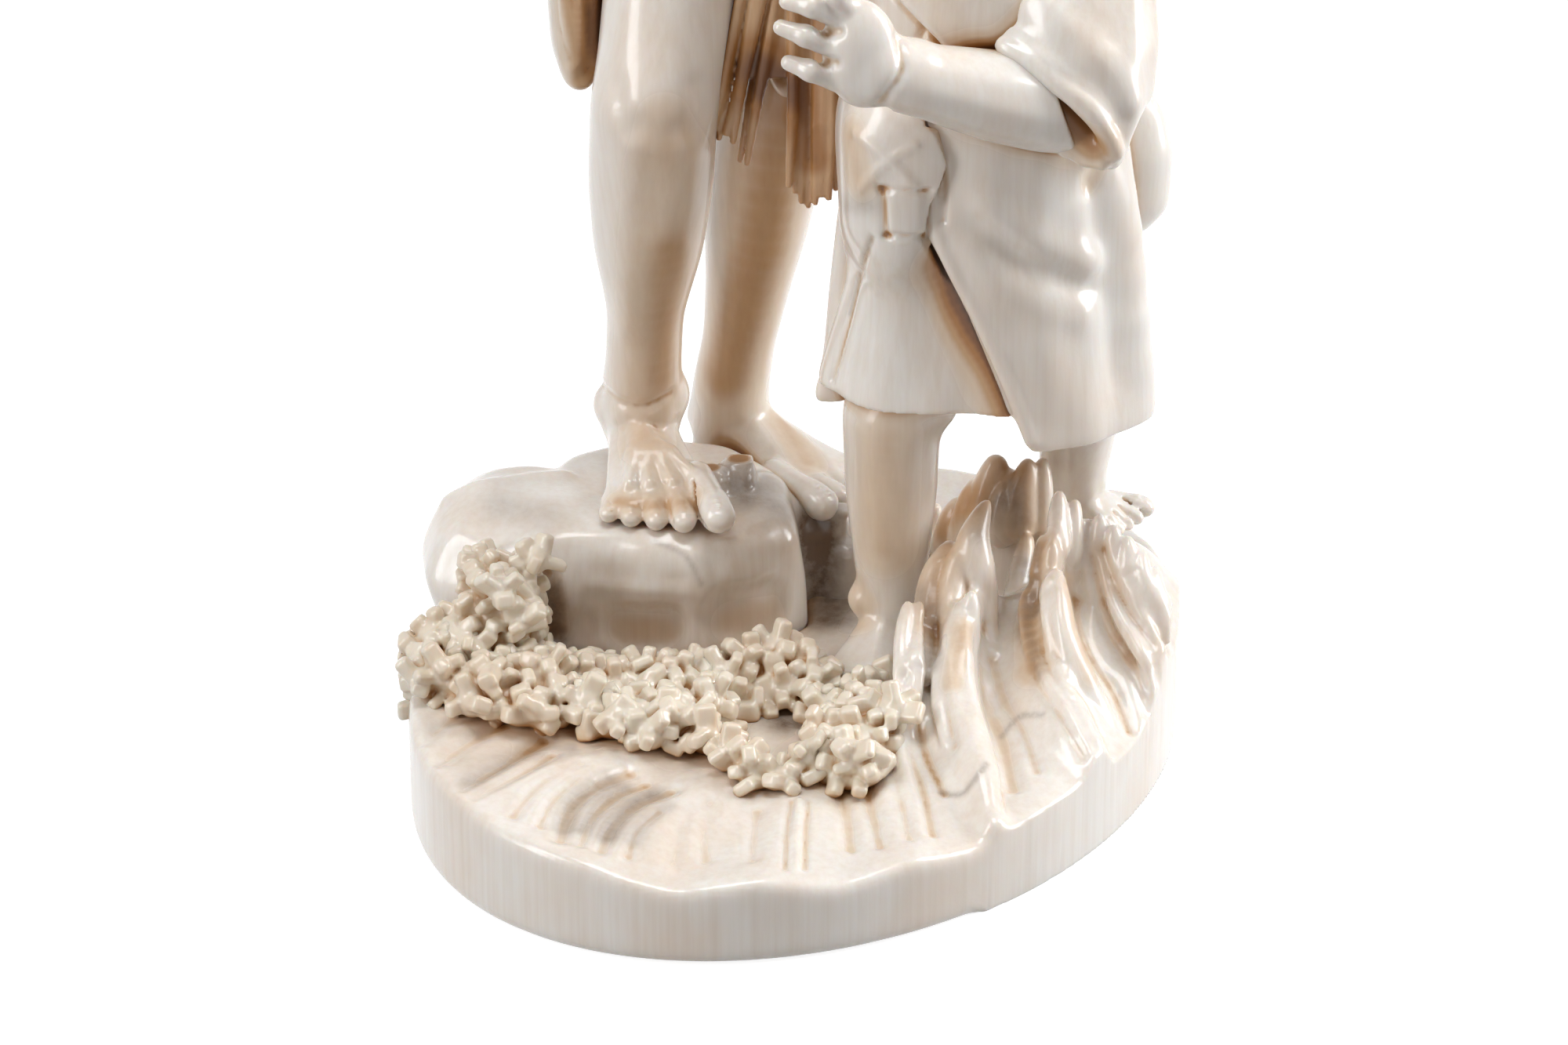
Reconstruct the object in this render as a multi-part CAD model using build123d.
from build123d import *
from math import atan2, cos, degrees, hypot, pi, radians, sin
import os

os.makedirs("parts", exist_ok=True)

# The carving is a fisherman stepping up on a boulder in a rough sea, with a child
# reaching across to him. It is made in sections that are joined by ivory pegs.
# Millimetres, +Z up, the viewer's side at -Y, the origin under the plinth's centre.

# Plinth: an oval slice of the tusk, flat underneath, its top carved as the sea.
base_long = 131.0
base_short = 101.0
base_turn = 58.0
rim_height = 10.5
sea_rise = 3.5
flute_depth = 1.3
flute_count = 17
crest_height = 36.0
crest_width = 9.0
finger_width = 4.4
finger_length = 7.0

# Boulder: the stone under the forward foot, the stone on its left, the ledge behind.
stone_top = 33.0
stone_width = 42.0
stone_depth = 41.0
left_stone_top = 34.0
left_stone_width = 28.0
left_stone_depth = 32.0
ledge_top = 26.0
ledge_width = 42.0
ledge_depth = 25.0
rear_stone_top = 24.0
stone_root = 9.0

# Foam: bands of small nubs thrown up in front of the boulder.
foam_top = 20.0
foam_band_width = 11.0
nub_width = 5.4
ring_width = 16.5
ring_depth = 22.0

# Adult, seen from the front: the forward leg is the figure's right one.
foot_length = 32.0
foot_width = 16.5
ankle_height = 9.0
shin_length = 52.0
thigh_length = 51.0
leg_width = 19.0
hip_width = 19.0
torso_length = 70.0
shoulder_width = 44.0
upper_arm_length = 36.0
forearm_length = 27.0
sleeve_width = 22.0
hand_length = 17.0
hand_width = 9.5
head_height = 31.0
head_width = 22.0
robe_width = 50.0
robe_depth = 37.0
robe_length = 40.0
drape_length = 27.0
drape_width = 8.5
drape_depth = 13.0
straw_length = 37.0
straw_width = 5.2
straw_thickness = 2.2
straw_band = 6.0

# Child.
child_foot_length = 22.5
child_foot_width = 10.0
child_ankle_height = 8.5
child_leg_width = 14.5
child_shin_length = 30.0
rear_shin_length = 20.0
kimono_width = 47.0
kimono_depth = 29.0
kimono_length = 39.0
coat_width = 49.0
coat_depth = 34.0
coat_length = 43.0
child_torso_length = 34.0
child_shoulder_width = 33.0
child_upper_arm = 23.0
child_forearm = 27.0
child_arm_width = 12.0
child_sleeve_width = 24.0
child_sleeve_depth = 21.0
child_sleeve_length = 36.0
child_hand_length = 17.0
child_hand_width = 12.5
child_head_height = 31.0
child_head_width = 26.0
sash_height = 11.0
bow_width = 11.0
bow_length = 22.0

# Pegs and the play left for glue.
foot_peg_radius = 1.4
foot_peg_length = 11.0
joint_peg_radius = 1.1
joint_peg_length = 9.0
glue_gap = 0.05

up = Vector(0, 0, 1)


def outline(centre, along, facing, wide, deep, sides, swell=None):
    """A closed outline of straight cuts round a centre, square to the way along."""
    side = facing - along * facing.dot(along)
    plane = Plane(origin=centre, x_dir=side, z_dir=along)
    corners = []
    for i in range(sides):
        turn = 2 * pi * (i + 0.5) / sides
        grow = swell(turn) if swell else 1
        corners.append(plane.from_local_coords((wide / 2 * cos(turn) * grow, deep / 2 * sin(turn) * grow, 0)))
    return corners


def flat(corners):
    return Face(Wire.make_polygon(corners, close=True))


def carved(rings):
    """A solid between closed outlines, in flat cuts like those of a knife."""
    faces = [flat(rings[0]), flat(rings[-1])]
    count = len(rings[0])
    for lower, upper in zip(rings, rings[1:]):
        for i in range(count):
            j = (i + 1) % count
            faces.append(flat([lower[i], lower[j], upper[j]]))
            faces.append(flat([lower[i], upper[j], upper[i]]))
    return Solid(Shell(faces))


def on_path(joints, place):
    """The point at a place along a chain of joints, where 1.5 is halfway along the second bone."""
    bone = max(0, min(len(joints) - 2, int(place)))
    return joints[bone] + (joints[bone + 1] - joints[bone]) * (place - bone)


def limb(joints, wide, deep, shares, facing=Vector(1, 0, 0), sides=10, swell=None):
    """A carved form along a chain of joints. Each row of shares holds the place along the
    chain, the shift to the front as a share of the depth, and the width and depth there."""
    reach = 0.3
    rings = []
    for place, fore, wide_share, deep_share in shares:
        along = (on_path(joints, place + reach) - on_path(joints, place - reach)).normalized()
        side = (facing - along * facing.dot(along)).normalized()
        front = side.cross(along)
        centre = on_path(joints, place) + front * (fore * deep)
        rings.append(outline(centre, along, side, wide * wide_share, deep * deep_share, sides, swell))
    return carved(rings)


def level_form(centre, wide, deep, tall, shares, turn=0.0, sides=16, swell=None):
    """A carved form on level outlines. Each row of shares holds the height, the shift to
    the right and back, and the width and depth there."""
    facing = Vector(1, 0, 0).rotate(Axis.Z, turn)
    back = up.cross(facing)
    rings = []
    for height, right, behind, wide_share, deep_share in shares:
        middle = centre + facing * (right * wide) + back * (behind * deep) + up * (height * tall)
        rings.append(outline(middle, up, facing, wide * wide_share, deep * deep_share, sides, swell))
    return carved(rings)


def folds(count, depth_share, start=0.0):
    """How far cloth stands out round a body, as count rounded folds."""
    return lambda turn: 1 + depth_share * cos(count * turn + start)


def peg(middle, along, radius, length):
    """A whittled peg about its middle, or the hole for one."""
    across = Vector(0, 1, 0) if abs(along.X) > abs(along.Y) else Vector(1, 0, 0)
    ends = []
    for share in (-0.5, 0.5):
        ends.append(outline(middle + along * (length * share), along, across, 2 * radius, 2 * radius, 8))
    return carved(ends)


def fused(first, *others):
    return first.fuse(*others)


def largest(shape):
    """The one piece that a cut leaves, without the crumbs beside it."""
    return max(shape.solids(), key=lambda solid: solid.volume)


def seated(shape, *neighbours):
    """The shape with a seat cut in it for each neighbour."""
    for neighbour in neighbours:
        shape = shape - neighbour
    return largest(shape)


# The oval's reach along X and Y, which places on the plinth are shares of.
def reach(first, second):
    return hypot(base_long / 2 * first, base_short / 2 * second)


reach_x = reach(cos(radians(base_turn)), sin(radians(base_turn)))
reach_y = reach(sin(radians(base_turn)), cos(radians(base_turn)))


# Everything on the plinth stands a little left of its centre and in front of it.
right_shift_share = -0.016
back_shift_share = -0.075


def on_base(x_share, y_share, height=0.0):
    return Vector(reach_x * (x_share + right_shift_share), reach_y * (y_share + back_shift_share), height)


def oval(turn, share):
    """The point of the plinth's outline that lies at an angle on the plan."""
    local = turn - radians(base_turn)
    far = 1 / hypot(cos(local) / (base_long / 2), sin(local) / (base_short / 2))
    return Vector(far * share * cos(turn), far * share * sin(turn), 0)


# The rim's height round the plinth: the angle in degrees from the right, the share of rim_height.
rim_shares = (
    (-180, 1.75), (-150, 1.58), (-130, 1.5), (-117, 1.3), (-104, 1.08), (-98, 1.28), (-88, 0.97),
    (-79, 1.14), (-66, 1.03), (-30, 1.0), (-9, 1.12), (8, 1.75), (40, 1.75), (90, 1.6), (180, 1.75),
)


def rim_top(turn):
    """The rim's height at an angle, straight between the places given."""
    degree = (degrees(turn) + 180) % 360 - 180
    for (start, low), (end, high) in zip(rim_shares, rim_shares[1:]):
        if start <= degree <= end:
            return rim_height * (low + (high - low) * (degree - start) / (end - start))


def sea_height(turn, share, furrow):
    """The carved sea's height: from the wavy rim inwards to its level, in flutes."""
    level = rim_height + sea_rise
    rim = level + (rim_top(turn) - level) * share ** 2
    flute = flute_depth * (0.5 if furrow else -0.5) * 6.7 * share ** 2 * (1.08 - share)
    return rim + flute


def sea():
    """The sea as flat cuts between rings of points, trimmed to the oval."""
    ring_shares = (1.04, 0.9, 0.72, 0.5, 0.24)
    count = 2 * flute_count
    sweep_share = 1.5
    rings = []
    for share in ring_shares:
        ring = []
        for i in range(count):
            turn = 2 * pi * (i + sweep_share * (1 - share)) / count
            ring.append(oval(turn, share) + up * sea_height(turn, share, i % 2))
        rings.append(ring)
    centre = up * (rim_height + sea_rise)
    faces = []
    for outer, inner in zip(rings, rings[1:]):
        for i in range(count):
            j = (i + 1) % count
            faces.append(flat([outer[i], outer[j], inner[j]]))
            faces.append(flat([outer[i], inner[j], inner[i]]))
    for i in range(count):
        j = (i + 1) % count
        faces.append(flat([rings[-1][i], rings[-1][j], centre]))
        low_i, low_j = rings[0][i] * 1, rings[0][j] * 1
        low_i.Z, low_j.Z = 0, 0
        faces.append(flat([low_i, low_j, rings[0][j], rings[0][i]]))
    floor = []
    for point in rings[0]:
        low = point * 1
        low.Z = 0
        floor.append(low)
    faces.append(flat(floor))
    block = Solid(Shell(faces))
    cutter = Rot(0, 0, base_turn) * extrude(Ellipse(base_long / 2, base_short / 2), 2 * crest_height)
    return largest(block & cutter)


def wave_ridge(shares, width, root):
    """A wave's ridge from the rim up to its crest. Each row of shares holds the place on
    the plinth, the crest's height there and the ridge's width."""
    points = [on_base(x, y, 0) for x, y, height, wide in shares]
    rings = []
    for i, (x, y, height, wide) in enumerate(shares):
        ahead = points[min(i + 1, len(points) - 1)] - points[max(i - 1, 0)]
        along = ahead.normalized()
        side = along.cross(up)
        half, top = width * wide / 2, crest_height * height - root
        profile = ((-1, 0), (-0.7, 0.55), (-0.3, 0.94), (0.12, 1), (0.5, 0.7), (1, 0))
        corners = [points[i] + side * (half * a) + up * (root + top * b) for a, b in profile]
        rings.append(corners)
    return carved(rings)


def finger(place, lean, length, width):
    """One finger of a breaking crest, rounded at its tip."""
    tip = place + lean * length
    rings = []
    for share, wide in ((-0.7, 1.1), (0.5, 0.9), (1, 0.35)):
        rings.append(outline(place + (tip - place) * share, lean, Vector(1, 0, 0), width * wide, width * wide, 5))
    return carved(rings)


# Ridges on the right, from the rim inwards: place on the plinth, height, width.
ridge_shares = [
    [(0.26, -0.56, 0.38, 0.8), (0.28, -0.34, 0.5, 0.8), (0.3, -0.17, 0.7, 0.7)],
    [(0.56, -0.76, 0.34, 0.8), (0.45, -0.54, 0.42, 1.1), (0.41, -0.28, 0.6, 1.1),
     (0.45, -0.08, 0.8, 0.9), (0.49, 0.12, 0.96, 0.6)],
    [(0.84, -0.5, 0.34, 0.9), (0.72, -0.33, 0.52, 1.2), (0.65, -0.1, 0.74, 1.2),
     (0.66, 0.05, 0.9, 1), (0.69, 0.16, 1, 0.7)],
    [(0.94, -0.16, 0.46, 0.8), (0.93, 0.02, 0.66, 0.9), (0.87, 0.1, 0.84, 0.9), (0.77, 0.2, 0.94, 0.8)],
    [(0.42, 0.56, 0.6, 0.9), (0.49, 0.46, 0.82, 0.8), (0.55, 0.42, 0.95, 0.8), (0.66, 0.38, 0.92, 0.7)],
]
# Fingers on the crests: ridge, how far along it, lean to the right and back.
finger_shares = [
    (0, 1.4, 0.1, 0.2), (0, 1.75, 0.2, 0.3),
    (1, 2.4, 0, 0.2), (1, 3.0, 0.1, 0.3), (1, 3.6, 0.1, 0.3),
    (2, 2.5, 0, 0.1), (2, 3.0, 0.1, 0.1), (2, 3.5, 0.1, 0.2),
    (3, 0.5, 0.4, 0), (3, 1.0, 0.4, 0.1), (3, 1.5, 0.3, 0.1), (3, 2.0, 0.3, 0.2), (3, 2.5, 0.2, 0.2),
    (4, 1.0, 0, 0.2), (4, 1.5, 0, 0.2), (4, 2.0, 0.1, 0.2), (4, 2.6, 0.2, 0.2),
]


def ridge_top(shares, place):
    low = min(len(shares) - 2, int(place))
    part = place - low
    x, y, height = (shares[low][k] * (1 - part) + shares[low + 1][k] * part for k in range(3))
    return on_base(x, y, crest_height * height)


def make_wave_base(seats):
    whole = sea()
    root = rim_height / 2
    for shares in ridge_shares:
        whole = whole + wave_ridge(shares, crest_width, root)
    for ridge, place, right, behind in finger_shares:
        lean = Vector(right, behind, 1).normalized()
        top = ridge_top(ridge_shares[ridge], place) - lean * (finger_length / 2)
        whole = whole + finger(top, lean, finger_length, finger_width)
    trim = Rot(0, 0, base_turn) * extrude(Ellipse(base_long / 2, base_short / 2), 2 * crest_height)
    return seated(largest(whole) & trim, *seats)


def make_boulder():
    """Three stones in one block, each on level outlines with flat cuts for its faces."""
    step_shares = [
        (0, 0, 0.02, 1.02, 0.98), (0.45, 0, 0.01, 1, 0.97), (0.82, 0, 0, 0.97, 0.98),
        (0.95, 0, 0.01, 0.93, 0.94), (1, 0, 0.02, 0.84, 0.84),
    ]
    left_shares = [
        (0, 0.06, 0.02, 0.84, 0.84), (0.35, 0.03, 0, 0.9, 0.92), (0.62, 0, 0, 1, 1),
        (0.88, 0.04, 0.03, 0.86, 0.84), (1, 0.12, 0.06, 0.6, 0.6),
    ]
    ledge_shares = [(0, 0, 0, 1, 1), (0.6, 0, 0, 0.98, 0.98), (0.9, 0, 0, 0.92, 0.92), (1, 0, 0, 0.84, 0.84)]

    def chips(turn):
        return 1 + 0.05 * cos(3 * turn + 1.1) + 0.035 * cos(5 * turn)

    step = level_form(stone_place, stone_width, stone_depth, stone_top - stone_root, step_shares, 0, 9, chips)
    left = level_form(left_stone_place, left_stone_width, left_stone_depth, left_stone_top - stone_root,
                      left_shares, 12, 8, chips)
    ledge = level_form(ledge_place, ledge_width, ledge_depth, ledge_top - stone_root, ledge_shares, -6, 10, chips)
    return largest(fused(step, left, ledge))


stone_place = on_base(-0.345, 0.395, stone_root)
left_stone_place = on_base(-0.75, 0.31, stone_root)
ledge_place = on_base(-0.1, 0.63, stone_root)

# Adult's joints. The forward leg sets the figure's height; the rear leg spans what is left.
right_heel = on_base(-0.42, 0.62, stone_top)
right_heading = Vector(0.13, -1, 0).normalized()
right_ankle = right_heel + right_heading * (foot_length * 0.22) + up * ankle_height
right_knee = right_ankle + Vector(0.05, -0.17, 0.98).normalized() * shin_length
right_hip = right_knee + Vector(0.17, 0.26, 0.94).normalized() * thigh_length
pelvis = right_hip + Vector(0.99, 0.14, 0.03).normalized() * (hip_width / 2)
left_hip = pelvis + (pelvis - right_hip)
left_heel = on_base(-0.25, 0.84, ledge_top)
left_heading = Vector(0.79, -0.6, 0).normalized()
left_ankle = left_heel + left_heading * (foot_length * 0.16) + up * ankle_height
left_knee = left_ankle + (left_hip - left_ankle) * 0.5 - Vector(0.03, 0.08, 0) * shin_length
neck = pelvis + Vector(0.03, -0.03, 1).normalized() * torso_length
head = neck + Vector(0.16, -0.26, 0.95).normalized() * (head_height * 0.72)
right_shoulder = neck + Vector(-0.43, 0.02, -0.17) * shoulder_width
left_shoulder = neck + Vector(0.42, 0.03, -0.17) * shoulder_width
right_elbow = right_shoulder + Vector(-0.42, -0.1, -0.9).normalized() * upper_arm_length
right_wrist = right_elbow + Vector(0.72, -0.52, -0.3).normalized() * forearm_length
left_elbow = left_shoulder + Vector(0.72, 0.1, -0.68).normalized() * upper_arm_length

# Child's joints, up from the forward foot.
child_heel = on_base(0.29, 0.2, rim_height + sea_rise)
child_heading = Vector(-0.46, -0.89, 0).normalized()
child_ankle = child_heel + child_heading * (child_foot_length * 0.2) + up * child_ankle_height
child_knee = child_ankle + Vector(-0.01, -0.04, 1).normalized() * child_shin_length
rear_heel = on_base(0.68, 0.54, rear_stone_top)
rear_heading = Vector(0.93, -0.37, 0).normalized()
rear_ankle = rear_heel + rear_heading * (child_foot_length * 0.16) + up * (child_ankle_height * 0.8)
rear_knee = rear_ankle + Vector(0.05, -0.25, 1).normalized() * rear_shin_length
child_hip = child_knee + Vector(0.42, 0.04, 0.5) * child_shin_length
waist = child_hip + up * (kimono_length * 0.7)
child_neck = waist + Vector(0.02, -0.02, 1).normalized() * child_torso_length
child_head = child_neck + Vector(-0.1, -0.1, 1).normalized() * (child_head_height * 0.56)
child_left_shoulder = child_neck + Vector(0.42, -0.06, -0.2) * child_shoulder_width
child_right_shoulder = child_neck + Vector(-0.42, 0.1, -0.2) * child_shoulder_width
child_elbow = child_left_shoulder + Vector(-0.1, -0.5, -0.92).normalized() * child_upper_arm
child_wrist = child_elbow + Vector(-0.91, -0.27, 0.31).normalized() * child_forearm
left_wrist = child_head + Vector(0.14, 0.3, 0.8) * child_head_height
child_right_elbow = child_right_shoulder + Vector(-0.85, -0.1, 0.15).normalized() * (child_upper_arm * 0.75)
child_right_wrist = child_right_elbow + Vector(-0.35, 0.4, 0.85).normalized() * (child_forearm * 0.5)


def make_foot(heel, heading, length, width, height, toe_side):
    """A bare foot from heel to ball, with five toes. toe_side is 1 where the big toe is on
    the left of the heading and -1 where it is on the right."""
    left = up.cross(heading)
    rows = (
        (0.0, 0.34, 0.34, 0.0), (0.06, 0.58, 0.76, 0.0), (0.2, 0.66, 1.0, 0.0), (0.36, 0.68, 0.95, 0.0),
        (0.52, 0.84, 0.68, 0.02), (0.68, 1.0, 0.48, 0.05), (0.82, 1.0, 0.34, 0.06),
    )
    rings = []
    for share, wide_share, tall_share, drift in rows:
        tall = height * tall_share
        middle = heel + heading * (length * share) + left * (toe_side * width * drift) + up * (tall / 2)
        rings.append(outline(middle, heading, left, width * wide_share, tall, 8))
    whole = carved(rings)
    pieces = []
    toes = ((0.4, 0.3, 1.0), (0.13, 0.215, 0.98), (-0.08, 0.19, 0.94), (-0.27, 0.18, 0.89), (-0.44, 0.165, 0.83))
    for across, thick, tip_share in toes:
        thick_mm = width * thick
        start = heel + heading * (length * 0.7) + left * (toe_side * width * (across * 0.92 + 0.06))
        tip = heel + heading * (length * tip_share) + left * (toe_side * width * (across * 1.12 + 0.07))
        rings = []
        for share, grow in ((0, 0.95), (0.5, 0.95), (0.8, 1.08), (1, 0.6)):
            middle = start + (tip - start) * share + up * (thick_mm * 0.55)
            along = (tip - start).normalized()
            rings.append(outline(middle, along, left, thick_mm * grow, thick_mm * 1.15 * grow, 6))
        pieces.append(carved(rings))
    whole = whole.fuse(*pieces)
    sole = Plane(origin=heel, z_dir=up)
    return split(whole, bisect_by=sole, keep=Keep.TOP)


def make_right_leg():
    shares = [
        (-0.08, -0.06, 0.6, 0.7), (0.04, -0.03, 0.7, 0.78), (0.16, 0, 0.62, 0.76), (0.34, 0, 0.62, 0.8),
        (0.55, -0.02, 0.88, 0.98), (0.75, -0.03, 0.99, 1.05), (1.0, 0.05, 1.0, 1.02),
        (1.12, 0.03, 1.0, 1.02), (1.35, 0.0, 1.1, 1.1), (1.8, 0.0, 1.16, 1.2),
    ]
    leg = limb([right_ankle, right_knee, right_hip], leg_width, leg_width, shares, Vector(1, 0, 0), 10)
    foot = make_foot(right_heel, right_heading, foot_length, foot_width, ankle_height * 1.25, 1)
    return largest(leg + foot)


def make_left_leg():
    shares = [
        (-0.08, -0.04, 0.6, 0.66), (0.06, -0.02, 0.64, 0.72), (0.22, 0, 0.6, 0.68), (0.4, 0, 0.7, 0.76),
        (0.6, -0.02, 0.86, 0.92), (0.8, -0.02, 0.92, 0.96), (1.0, 0.02, 0.92, 0.94), (1.2, 0, 0.96, 1.0),
        (1.8, 0, 1.1, 1.15),
    ]
    leg = limb([left_ankle, left_knee, left_hip], leg_width, leg_width, shares, Vector(1, 0.3, 0), 10)
    foot = make_foot(left_heel, left_heading, foot_length * 0.94, foot_width, ankle_height * 1.2, -1)
    return largest(leg + foot)


robe_top = pelvis.Z + robe_length * 0.42
robe_foot = robe_top - robe_length


def make_robe(seats):
    """The hitched-up skirt of the robe: hips, a fluted hem and the tail hanging at the left."""
    shares = [
        (0, 0.0, 0.0, 1.0, 1.0), (0.22, 0.0, 0.0, 0.99, 0.98), (0.5, 0.0, 0.0, 0.95, 0.95),
        (0.8, 0.0, 0.02, 0.84, 0.84), (1, 0.0, 0.03, 0.78, 0.78),
    ]
    middle = Vector(pelvis.X - robe_width * 0.04, pelvis.Y - robe_depth * 0.03, robe_foot)
    skirt = level_form(middle, robe_width, robe_depth, robe_length, shares, 0, 20, folds(6, 0.035))
    drapes = []
    drape_shares = [(0, 0, 1.5, 0.8), (0.45, 0, 1.15, 1), (0.8, 0, 1, 0.8), (1, 0, 0.5, 0.5)]
    for right_share, back_share, drop_share in ((-0.54, -0.12, 1.0), (0.05, -0.2, 1.0)):
        top = middle + Vector(right_share * robe_width, back_share * robe_depth, robe_length * 0.2)
        foot = Vector(top.X, top.Y, robe_foot - drape_length * drop_share)
        drapes.append(limb([top, foot], drape_width, drape_depth, drape_shares, Vector(1, 0.2, 0), 8))
    return seated(fused(skirt, *drapes), *seats)


# Where the straws hang round the band, in degrees: between the legs, then round the back.
straw_turns = [*range(-104, -55, 12), *range(24, 205, 15)]


def make_straw_skirt(seats):
    """A flat band under the hem with straps of straw hanging from it, ragged at the ends."""
    band_top = robe_foot
    middle = Vector(pelvis.X - robe_width * 0.04, pelvis.Y - robe_depth * 0.03, band_top - straw_band)
    shares = [(0, 0, 0, 0.8, 0.8), (1, 0, 0, 0.84, 0.84)]
    band = level_form(middle, robe_width, robe_depth, straw_band, shares, 0, 16)
    straws = []
    for i, degree in enumerate(straw_turns):
        turn = radians(degree)
        ragged = 1 - 0.12 * sin(2.3 * i) - 0.08 * cos(5.1 * i)
        out = Vector(cos(turn), sin(turn), 0)
        root = middle + Vector(out.X * robe_width, out.Y * robe_depth, 0) * 0.36 + up * (straw_band / 2)
        tip = root + out * (straw_length * 0.03) - up * (straw_length * ragged)
        side = up.cross(out)
        rings = []
        for share, wide in ((0, 0.9), (0.75, 1.05), (1, 0.5)):
            rings.append(outline(root + (tip - root) * share, (tip - root).normalized(), side,
                                 straw_width * wide, straw_thickness, 4))
        straws.append(carved(rings))
    return seated(band.fuse(*straws), *seats)


def make_jacket(seats):
    """The upper body in its jacket, with the sash round the waist and crossed collars."""
    shares = [
        (0, 0, 0, 0.8, 1.0), (0.16, 0, 0, 0.84, 1.04), (0.3, 0, 0, 0.86, 1.02), (0.55, 0, 0, 0.96, 1.08),
        (0.75, 0, 0, 1.0, 1.06), (0.87, 0, 0, 0.86, 0.92), (0.96, 0.01, -0.02, 0.5, 0.72),
        (1.02, 0.02, -0.04, 0.3, 0.52),
    ]
    tall = neck.Z - robe_top
    centre = Vector(pelvis.X, pelvis.Y, robe_top)
    body = level_form(centre, shoulder_width, shoulder_width * 0.56, tall, shares, 0, 16, folds(4, 0.012))
    sash = level_form(centre, shoulder_width, shoulder_width * 0.56, tall,
                      [(0.02, 0, 0, 0.88, 1.1), (0.09, 0, 0, 0.92, 1.15), (0.17, 0, 0, 0.9, 1.12)], 0, 16)
    return seated(body + sash, *seats)


def make_sleeve(joints, width, shares, seats, facing=Vector(1, 0, 0)):
    return seated(limb(joints, width, width, shares, facing, 10), *seats)


def make_hand(wrist, heading, palm_normal, length, width, thumb_side, fingers):
    """A hand with a rounded back and separate fingers. heading points along the fingers."""
    across = palm_normal.cross(heading).normalized()
    rows = (
        (-0.75, 0.62, 0.62), (-0.3, 0.64, 0.6), (0, 0.7, 0.6), (0.2, 0.95, 0.62), (0.4, 1.0, 0.52), (0.52, 0.95, 0.4),
    )
    rings = []
    for share, wide, thick in rows:
        middle = wrist + heading * (length * share)
        rings.append(outline(middle, heading, across, width * wide, width * thick, 8))
    whole = carved(rings)
    pieces = []
    for spread, reach_share, curl in fingers:
        start = wrist + heading * (length * 0.42) + across * (width * spread * 0.78)
        tip = start + (heading + across * (spread * 0.3) - palm_normal * curl).normalized() * (length * reach_share)
        rings = []
        for share, grow in ((0, 1), (0.5, 0.95), (0.85, 0.85), (1, 0.5)):
            thick = width * 0.235 * grow
            middle = start + (tip - start) * share
            rings.append(outline(middle, (tip - start).normalized(), across, thick, thick, 6))
        pieces.append(carved(rings))
    start = wrist + heading * (length * 0.08) + across * (thumb_side * width * 0.3)
    tip = start + (heading * 0.8 + across * (thumb_side * 0.75) - palm_normal * 0.2).normalized() * (length * 0.42)
    rings = []
    for share, grow in ((0, 1.1), (0.5, 1), (0.85, 0.9), (1, 0.5)):
        thick = width * 0.25 * grow
        middle = start + (tip - start) * share
        rings.append(outline(middle, (tip - start).normalized(), palm_normal, thick, thick, 6))
    return largest(whole.fuse(carved(rings), *pieces))


adult_fingers = ((-0.42, 0.4, 0.25), (-0.14, 0.46, 0.25), (0.14, 0.46, 0.25), (0.42, 0.4, 0.25))
child_fingers = ((-0.42, 0.42, 0.1), (-0.14, 0.48, 0.1), (0.14, 0.48, 0.1), (0.42, 0.42, 0.1))


def make_head(centre, heading, tall, wide, neck_point, neck_width):
    """A calm, plain head: skull and jaw on level outlines, a nose, ears and a neck."""
    turn = degrees(atan2(heading.Y, heading.X)) + 90
    deep = wide * 1.2
    shares = [
        (-0.5, 0, -0.2, 0.2, 0.16), (-0.46, 0, -0.17, 0.42, 0.38), (-0.36, 0, -0.1, 0.66, 0.66),
        (-0.2, 0, -0.05, 0.86, 0.86), (0, 0, 0, 0.97, 0.96), (0.18, 0, 0.02, 1.0, 1.0),
        (0.34, 0, 0.03, 0.88, 0.9), (0.45, 0, 0.03, 0.6, 0.62), (0.5, 0, 0.03, 0.28, 0.3),
    ]
    skull = level_form(centre, wide, deep, tall, shares, turn, 12)
    forward = Vector(heading.X, heading.Y, 0).normalized()
    side = forward.cross(up)
    nose_root = centre + forward * (deep * 0.42) + up * (tall * 0.08)
    nose_foot = centre + forward * (deep * 0.5) - up * (tall * 0.14)
    nose = limb([nose_root, nose_foot], wide * 0.17, wide * 0.2,
                [(0, 0, 0.5, 0.6), (0.5, 0, 0.75, 0.9), (0.9, 0, 1.3, 1.1), (1.05, 0, 0.8, 0.6)], side, 6)
    whole = skull + nose
    ear_shares = [(-0.5, 0, 0, 0.4, 0.4), (0, 0, 0, 1, 0.9), (0.4, 0, 0, 1, 1), (0.5, 0, 0, 0.5, 0.5)]
    for way in (-1, 1):
        ear = centre + side * (way * wide * 0.48) - forward * (deep * 0.02) - up * (tall * 0.02)
        whole = whole + level_form(ear, wide * 0.14, wide * 0.26, tall * 0.26, ear_shares, turn, 6)
    column = limb([neck_point - up * (tall * 0.16), centre - up * (tall * 0.2)], neck_width, neck_width,
                  [(0, 0, 1.05, 1.05), (0.5, 0, 0.94, 0.98), (1, 0, 0.9, 0.9)], side, 12)
    return largest(whole + column)


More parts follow.
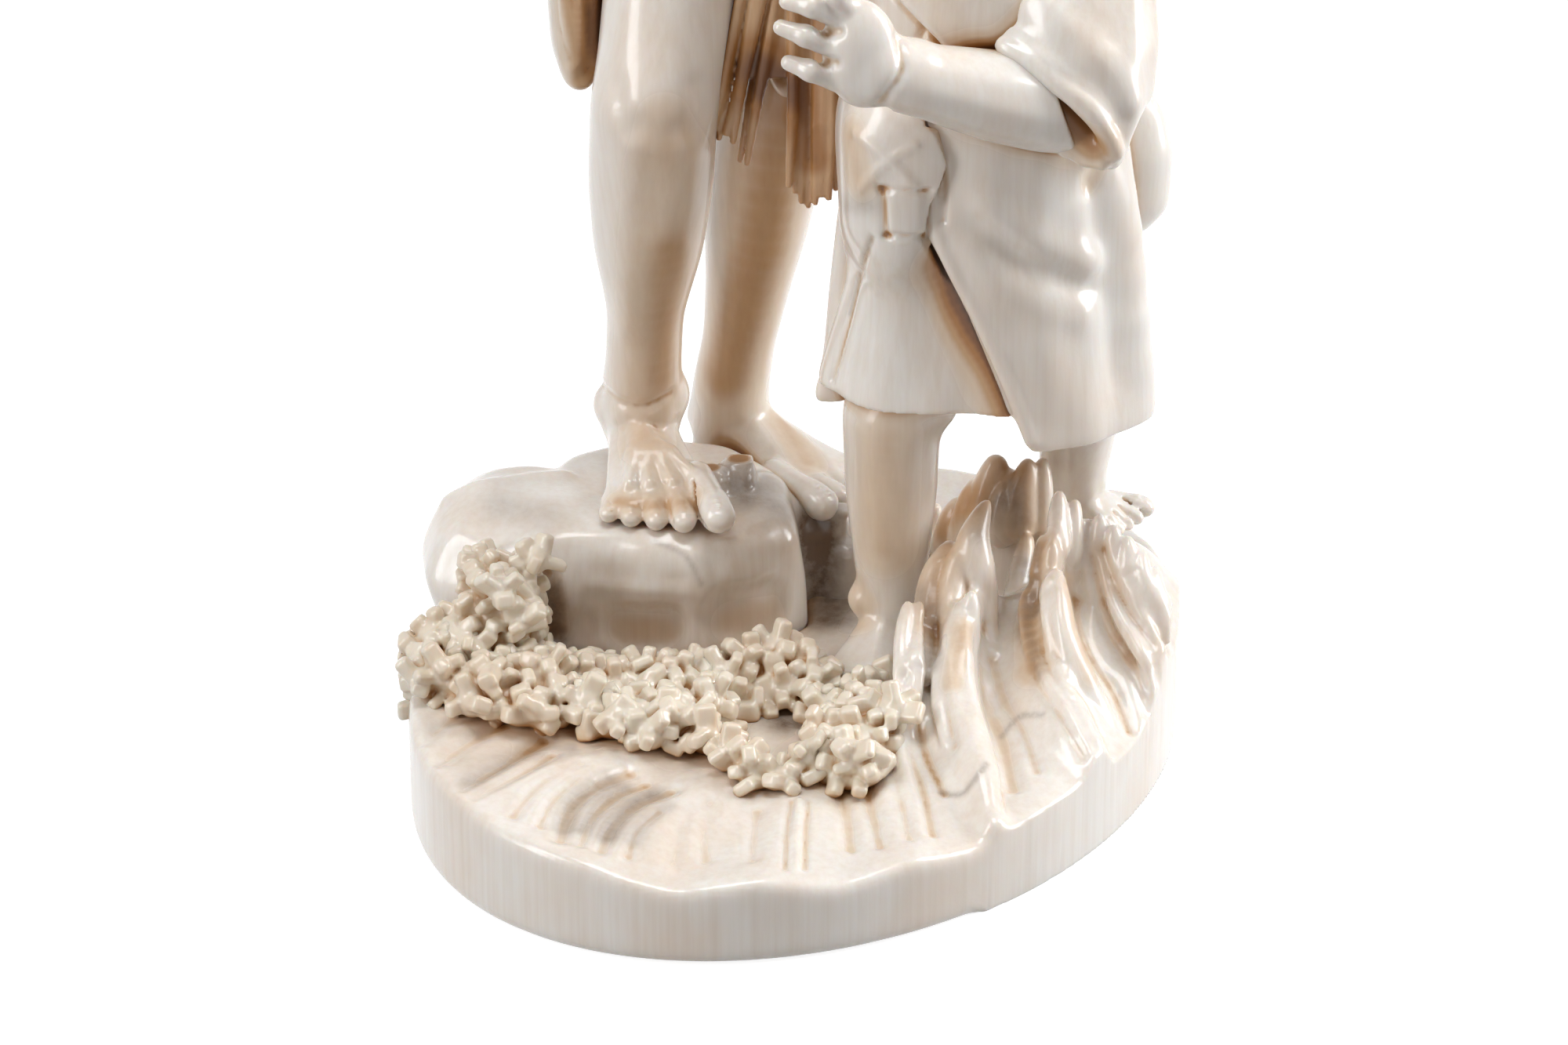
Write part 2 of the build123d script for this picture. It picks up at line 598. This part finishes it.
def make_hair(centre, heading, tall, wide, seats, knot_width):
    """A close cap of hair with a knot, seated over the skull."""
    turn = degrees(atan2(heading.Y, heading.X)) + 90
    deep = wide * 1.2
    shares = [
        (-0.22, 0, 0.2, 0.84, 0.56), (-0.02, 0, 0.14, 1.05, 0.8), (0.2, 0, 0.06, 1.09, 1.02),
        (0.37, 0, 0.04, 0.98, 0.98), (0.49, 0, 0.04, 0.68, 0.7), (0.55, 0, 0.04, 0.3, 0.32),
    ]
    cap = level_form(centre, wide, deep, tall, shares, turn, 12)
    forward = Vector(heading.X, heading.Y, 0).normalized()
    face_cut = centre + forward * (deep * 0.62) - up * (tall * 0.1)
    face_shares = [(-0.6, 0, 0, 1, 1), (0.3, 0, 0, 1, 1), (0.42, 0, 0, 0.6, 0.9)]
    face = level_form(face_cut, wide * 1.1, deep * 0.62, tall, face_shares, turn, 12)
    hair = cap - face
    if knot_width:
        knot = level_form(centre + up * (tall * 0.56) - forward * (deep * 0.08), knot_width, knot_width, knot_width,
                          [(-0.5, 0, 0, 0.7, 0.7), (-0.1, 0, 0, 0.8, 0.9), (0.2, 0, 0, 1, 1.1),
                           (0.45, 0, 0, 0.8, 0.9), (0.55, 0, 0, 0.4, 0.5)], turn, 8)
        hair = hair + knot
    return seated(hair, *seats)


def make_child_leg():
    shares = [
        (-0.1, -0.04, 0.7, 0.74), (0.05, -0.02, 0.72, 0.78), (0.3, 0, 0.84, 0.88), (0.6, 0, 0.98, 1.0),
        (1.0, 0.02, 1.08, 1.1), (1.4, 0, 1.12, 1.15),
    ]
    leg = limb([child_ankle, child_knee, child_hip], child_leg_width, child_leg_width, shares, Vector(1, 0, 0), 8)
    foot = make_foot(child_heel, child_heading, child_foot_length, child_foot_width, child_ankle_height * 1.15, 1)
    return largest(leg + foot)


def make_child_rear_leg():
    shares = [
        (-0.1, -0.02, 0.72, 0.74), (0.15, 0, 0.76, 0.8), (0.5, 0.0, 0.84, 0.88), (0.8, 0.06, 1.0, 1.02),
        (0.95, 0.1, 1.08, 1.1), (1.1, 0.05, 1.0, 1.0), (1.5, 0, 0.9, 0.9),
    ]
    leg = limb([rear_ankle, rear_knee, child_hip], child_leg_width, child_leg_width, shares, Vector(1, 0.2, 0), 8)
    foot = make_foot(rear_heel, rear_heading, child_foot_length * 0.62, child_foot_width, child_ankle_height, 1)
    return largest(leg + foot)


kimono_foot = waist - up * kimono_length


def make_kimono(seats):
    """The child's under-robe: a flared skirt, the body above it and the sash with its knot."""
    shares = [
        (0, -0.04, 0.0, 0.95, 1.0), (0.4, -0.005, 0, 0.84, 0.87), (0.75, 0.02, 0, 0.75, 0.8),
        (1, 0.02, 0, 0.69, 0.76), (1.3, 0, 0, 0.72, 0.78), (1.62, 0, 0, 0.7, 0.74), (1.8, 0, -0.01, 0.5, 0.56),
        (1.9, 0, -0.02, 0.34, 0.4),
    ]
    body = level_form(kimono_foot, kimono_width, kimono_depth, kimono_length, shares, 0, 16, folds(5, 0.022, 0.7))
    sash_foot = waist - up * (sash_height * 0.5)
    sash = level_form(sash_foot, kimono_width, kimono_depth, sash_height,
                      [(0, 0, 0, 0.78, 0.86), (0.5, 0, 0, 0.81, 0.91), (1, 0, 0, 0.78, 0.86)], 0, 16)
    knot_place = waist + Vector(-kimono_width * 0.22, -kimono_depth * 0.4, 0)
    knot = level_form(knot_place, sash_height, sash_height * 0.5, sash_height,
                      [(-0.5, 0, 0, 0.7, 0.7), (0, 0, 0, 1.1, 1), (0.5, 0, 0, 0.8, 0.7)], -20, 8)
    tab = level_form(knot_place - up * sash_height, sash_height * 0.62, sash_height * 0.3, sash_height,
                     [(-0.15, 0, 0.1, 1.1, 1), (0.7, 0, 0, 0.9, 1)], -20, 8)
    return seated(fused(body, sash, knot, tab), *seats)


coat_foot = Vector(waist.X, waist.Y, kimono_foot.Z - (coat_length - kimono_length))


def make_coat(seats):
    """The outer robe, worn open: the front is cut away along its slanting edge."""
    shares = [
        (0, 0.0, 0.03, 1.0, 1.0), (0.5, 0.0, 0.02, 0.9, 0.92), (0.85, 0, 0.0, 0.84, 0.88),
        (1.1, 0, 0, 0.8, 0.86), (1.45, 0, 0, 0.78, 0.84), (1.66, 0, 0, 0.7, 0.76), (1.8, 0, 0, 0.46, 0.56),
    ]
    cloth = level_form(coat_foot, coat_width, coat_depth, coat_length, shares, 0, 18, folds(5, 0.022, 0.4))
    opening_shares = (
        (0.15, -0.05), (-0.04, 0.48), (-0.167, 0.744), (-0.167, 1.3), (-0.11, 1.36), (-0.27, 1.52),
        (-0.4, 2), (-1, 2), (-1, -0.05),
    )
    corners = []
    for right, height in opening_shares:
        corners.append(coat_foot + Vector(right * coat_width, -coat_depth, height * coat_length))
    opening = extrude(flat(corners), coat_depth * 1.05, dir=(0, 1, 0))
    return seated(cloth - opening, *seats)


def make_bell_sleeve(arm, seats):
    """The child's wide sleeve, its mouth slanting down round the forearm, hollow at the mouth."""
    centre = child_left_shoulder - up * (child_sleeve_length * 0.84)
    shares = [
        (0, 0.08, -0.48, 0.16, 0.3), (0.12, 0.04, -0.46, 0.46, 0.7), (0.36, -0.1, -0.42, 0.86, 1.0),
        (0.56, -0.18, -0.34, 1.08, 1.0), (0.78, -0.14, -0.16, 0.94, 0.92), (0.92, -0.1, -0.04, 0.66, 0.66),
        (1, -0.1, 0, 0.36, 0.4),
    ]
    bell = level_form(centre, child_sleeve_width, child_sleeve_depth, child_sleeve_length, shares, 0, 12)
    way = (child_wrist - child_elbow).normalized()
    mouth_way = Vector(-0.66, -0.25, -0.7).normalized()
    mouth = child_elbow + way * (child_arm_width * 0.36) - up * (child_arm_width * 0.12)
    bell = split(bell, bisect_by=Plane(origin=mouth, z_dir=mouth_way), keep=Keep.BOTTOM)
    hollow_end = child_elbow - way * (child_arm_width * 0.3)
    hollow_start = child_elbow + way * child_arm_width * 1.6
    drop = up * (child_arm_width * 0.16)
    hollow = limb([hollow_end - drop, hollow_start - drop * 2], child_arm_width * 1.24, child_arm_width * 1.3,
                  [(0, 0, 0.7, 0.7), (0.3, 0, 0.96, 0.96), (1, 0, 1.2, 1.2)], up, 12)
    return seated(bell - hollow, arm, *seats)


def make_bow(seats):
    """The sash's bow at the child's back, standing out to the right."""
    centre = waist + Vector(coat_width * 0.44, coat_depth * 0.3, -bow_length * 0.9)
    shares = [(0, -0.12, 0, 0.5, 0.5), (0.2, 0, 0, 0.94, 0.9), (0.6, 0, 0, 1, 1), (0.88, -0.05, 0, 0.8, 0.7),
              (1, -0.12, 0, 0.4, 0.4)]
    return seated(level_form(centre, bow_width, bow_width, bow_length, shares, -20, 10), *seats)


# How far one nub of foam is turned from the last, in radians.
nub_spin = 2.4


def foam_nub(place, size, spin):
    """One faceted nub of foam."""
    lean = Vector(0.35 * cos(spin), -0.3 + 0.3 * sin(spin), 1).normalized()
    rings = []
    for share, wide in ((-0.45, 0.6), (0.1, 1.05), (0.55, 0.5)):
        rings.append(outline(place + lean * (size * share), lean, Vector(1, 0.4, 0), size * wide, size * wide, 5))
    return carved(rings)


def foam_band(route, nubs, seats):
    """A band of foam along a route, thick at its root, with nubs set along its top."""
    joints = [on_base(x, y, foam_top * z) - up * (foam_band_width * 0.3) for x, y, z in route]
    end = len(joints) - 1
    rows = [(0, 0, 0.5, 0.6), (0.2 * end, 0, 0.9, 0.9), (0.5 * end, 0, 1, 1), (0.8 * end, 0, 0.9, 0.9),
            (0.999 * end, 0, 0.5, 0.6)]
    whole = limb(joints, foam_band_width * 0.9, foam_band_width, rows, Vector(0, 0.3, 1), 7)
    nubs_made = []
    for i in range(nubs):
        spin = nub_spin * i
        place = on_path(joints, end * (i + 0.5) / nubs)
        shift = Vector(cos(spin), sin(spin) - 0.2, 0.55 + 0.3 * sin(1.7 * spin)) * (foam_band_width * 0.4)
        nubs_made.append(foam_nub(place + shift, nub_width * (0.95 + 0.2 * sin(3.1 * i)), spin))
    return seated(whole.fuse(*nubs_made), *seats)


def foam_loop(nubs, seats):
    """The ring of foam round a hollow, close to the middle of the front."""
    centre = on_base(-0.05, -0.3, foam_top * 0.72)
    pieces = []
    for i in range(nubs):
        turn = 2 * pi * i / nubs
        place = centre + Vector(ring_width / 2 * cos(turn), ring_depth / 2 * sin(turn), 0)
        lift = nub_width * 0.35 * sin(nub_spin * i)
        pieces.append(foam_nub(place + up * lift, nub_width * (1.05 + 0.12 * sin(3.3 * i)), nub_spin * i))
        pieces.append(level_form(place - up * (foam_top * 0.3), nub_width * 1.5, nub_width * 1.5, foam_top * 0.3,
                                 [(0, 0, 0, 1.1, 1.1), (1, 0, 0, 0.9, 0.9)], degrees(turn), 6))
    return seated(pieces[0].fuse(*pieces[1:]), *seats)


left_route = ((-0.93, -0.08, 1.08), (-0.86, -0.17, 1.04), (-0.7, -0.22, 0.98), (-0.56, -0.24, 0.95))
rise_route = ((-0.74, 0.04, 1.7), (-0.76, -0.02, 1.35), (-0.8, -0.07, 1.1))
front_route = ((-0.52, -0.24, 0.92), (-0.36, -0.28, 0.9), (-0.22, -0.3, 0.88))
right_route = ((0.1, -0.5, 0.8), (0.15, -0.36, 0.9), (0.2, -0.22, 1.0))


def make_parts():
    """Every carved section, seated on its neighbours."""
    parts = {}
    right_leg = make_right_leg()
    left_leg = seated(make_left_leg(), right_leg)
    child_leg = make_child_leg()
    rear_leg = make_child_rear_leg()
    boulder = seated(make_boulder(), right_leg, left_leg)
    wave_base = make_wave_base([boulder, child_leg, rear_leg])
    parts["wave_base"] = wave_base
    parts["boulder"] = boulder
    parts["foam_left"] = foam_band(left_route, 15, [wave_base, boulder])
    parts["foam_rising"] = foam_band(rise_route, 9, [wave_base, boulder, parts["foam_left"]])
    parts["foam_front"] = foam_band(front_route, 12, [wave_base, boulder, parts["foam_left"]])
    parts["foam_ring"] = foam_loop(13, [wave_base, boulder, parts["foam_front"], child_leg])
    parts["foam_right"] = foam_band(right_route, 7, [wave_base, child_leg, parts["foam_ring"]])
    robe = make_robe([right_leg, left_leg])

    head_turn = Vector(0.45, -0.9, 0).normalized()
    adult_head = make_head(head, head_turn, head_height, head_width, neck, head_width * 0.52)
    adult_hair = make_hair(head, head_turn, head_height, head_width, [adult_head], head_width * 0.3)
    jacket = make_jacket([adult_head])
    right_way = (right_wrist - right_elbow).normalized()
    left_way = Vector(-0.25, -0.88, -0.4).normalized()
    right_palm = Vector(-0.3, -0.6, 0.7)
    left_palm = Vector(0, -0.4, 0.9)
    right_hand = make_hand(right_wrist, right_way, right_palm, hand_length, hand_width, 1, adult_fingers)
    left_hand = make_hand(left_wrist, left_way, left_palm, hand_length, hand_width, -1, adult_fingers)
    sleeve_shares = [
        (-0.05, 0, 0.72, 0.78), (0.4, 0, 0.74, 0.84), (0.85, 0.02, 0.8, 0.96), (1.2, 0.05, 0.82, 1.02),
        (1.6, 0.1, 0.78, 1.1), (1.76, 0.1, 0.7, 1.0),
    ]
    right_arm = [right_shoulder, right_elbow, right_wrist]
    left_arm = [left_shoulder, left_elbow, left_wrist]
    right_sleeve = make_sleeve(right_arm, sleeve_width, sleeve_shares, [jacket, right_hand, robe])

    young_turn = Vector(-0.5, -0.86, 0).normalized()
    young_head = make_head(child_head, young_turn, child_head_height, child_head_width, child_neck,
                           child_head_width * 0.42)
    young_hair = make_hair(child_head, young_turn, child_head_height, child_head_width, [young_head], 0)
    arm_way = (child_wrist - child_elbow).normalized()
    arm_shares = [(-0.3, 0, 0.7, 0.7), (0, 0, 0.94, 0.94), (0.2, 0, 1.06, 1.08), (0.5, 0, 1.06, 1.08),
                  (0.85, 0, 0.88, 0.9), (1, 0, 0.84, 0.84)]
    child_arm = limb([child_elbow, child_wrist], child_arm_width, child_arm_width, arm_shares, up, 10)
    child_hand = make_hand(child_wrist, arm_way, Vector(-0.2, -0.96, 0.2), child_hand_length, child_hand_width, 1,
                           child_fingers)
    forearm = largest(child_arm + child_hand)
    small_way = (child_right_wrist - child_right_elbow).normalized()
    small_hand = make_hand(child_right_wrist, small_way, Vector(0, -1, 0.2), child_hand_length * 0.8,
                           child_hand_width * 0.8, 1, child_fingers)
    kimono = make_kimono([child_leg, rear_leg, young_head, forearm])
    coat = make_coat([kimono, rear_leg, child_leg, young_head, young_hair, forearm])
    bell = make_bell_sleeve(forearm, [coat, kimono, young_head])
    cuff_shares = [(-0.08, 0, 0.7, 0.7), (0.5, 0, 0.84, 0.9), (1, 0.02, 0.9, 1.0), (1.5, 0.06, 0.84, 1.0),
                   (1.76, 0.1, 0.7, 0.9)]
    small_arm = [child_right_shoulder, child_right_elbow, child_right_wrist]
    small_sleeve = make_sleeve(small_arm, child_sleeve_width * 0.6, cuff_shares,
                               [coat, kimono, small_hand, right_leg, left_leg, robe, young_head])
    left_seats = [jacket, left_hand, robe, young_hair, young_head]
    left_sleeve = make_sleeve(left_arm, sleeve_width, sleeve_shares, left_seats)
    left_hand = seated(left_hand, young_hair)
    small_hand = seated(small_hand, robe)
    straw = make_straw_skirt([robe, right_leg, left_leg, forearm, kimono, coat])
    bow = make_bow([coat, kimono])
    parts.update({
        "adult_right_leg": right_leg, "adult_left_leg": left_leg, "adult_robe": robe, "straw_skirt": straw,
        "adult_jacket": jacket, "adult_right_sleeve": right_sleeve, "adult_left_sleeve": left_sleeve,
        "adult_right_hand": right_hand, "adult_left_hand": left_hand, "adult_head": adult_head,
        "adult_hair": adult_hair, "child_front_leg": child_leg, "child_rear_leg": rear_leg,
        "child_kimono": kimono, "child_coat": coat, "child_bow": bow, "child_left_sleeve": bell,
        "child_right_sleeve": small_sleeve, "child_left_arm": forearm, "child_right_hand": small_hand,
        "child_head": young_head, "child_hair": young_hair,
    })
    return parts


# Pegs: the two sections each one joins, its middle and the way it runs.
def peg_plan():
    """Where the pegs go, as sections, place and direction, for the feet and for the joints."""
    foot_shares = (0.24, 0.2, 0.24, 0.2)
    feet = [
        ("adult_right_leg", "boulder", right_heel + right_heading * (foot_length * foot_shares[0]), up),
        ("adult_left_leg", "boulder", left_heel + left_heading * (foot_length * foot_shares[1]), up),
        ("child_front_leg", "wave_base", child_heel + child_heading * (child_foot_length * foot_shares[2]), up),
        ("child_rear_leg", "wave_base", rear_heel + rear_heading * (child_foot_length * foot_shares[3] * 0.5), up),
    ]
    joints = [
        ("adult_head", "adult_jacket", neck - up * (head_height * 0.16), up),
        ("child_head", "child_kimono", child_neck - up * (child_head_height * 0.16), up),
        ("adult_robe", "adult_jacket", Vector(pelvis.X, pelvis.Y, robe_top), up),
        ("adult_right_sleeve", "adult_right_hand", right_wrist, (right_wrist - right_elbow).normalized()),
    ]
    return feet, joints


def main():
    parts = make_parts()
    feet, joints = peg_plan()
    for group, plan, radius, length in (("foot_pegs", feet, foot_peg_radius, foot_peg_length),
                                        ("joint_pegs", joints, joint_peg_radius, joint_peg_length)):
        pegs = []
        for first, second, middle, along in plan:
            hole = peg(middle, along, radius + glue_gap, length + 2 * glue_gap)
            parts[first] = largest(parts[first] - hole)
            parts[second] = largest(parts[second] - hole)
            pegs.append(peg(middle, along, radius, length))
        parts[group] = Compound(children=pegs)
    for name, shape in parts.items():
        export_step(shape, f"parts/{name}.step")


main()
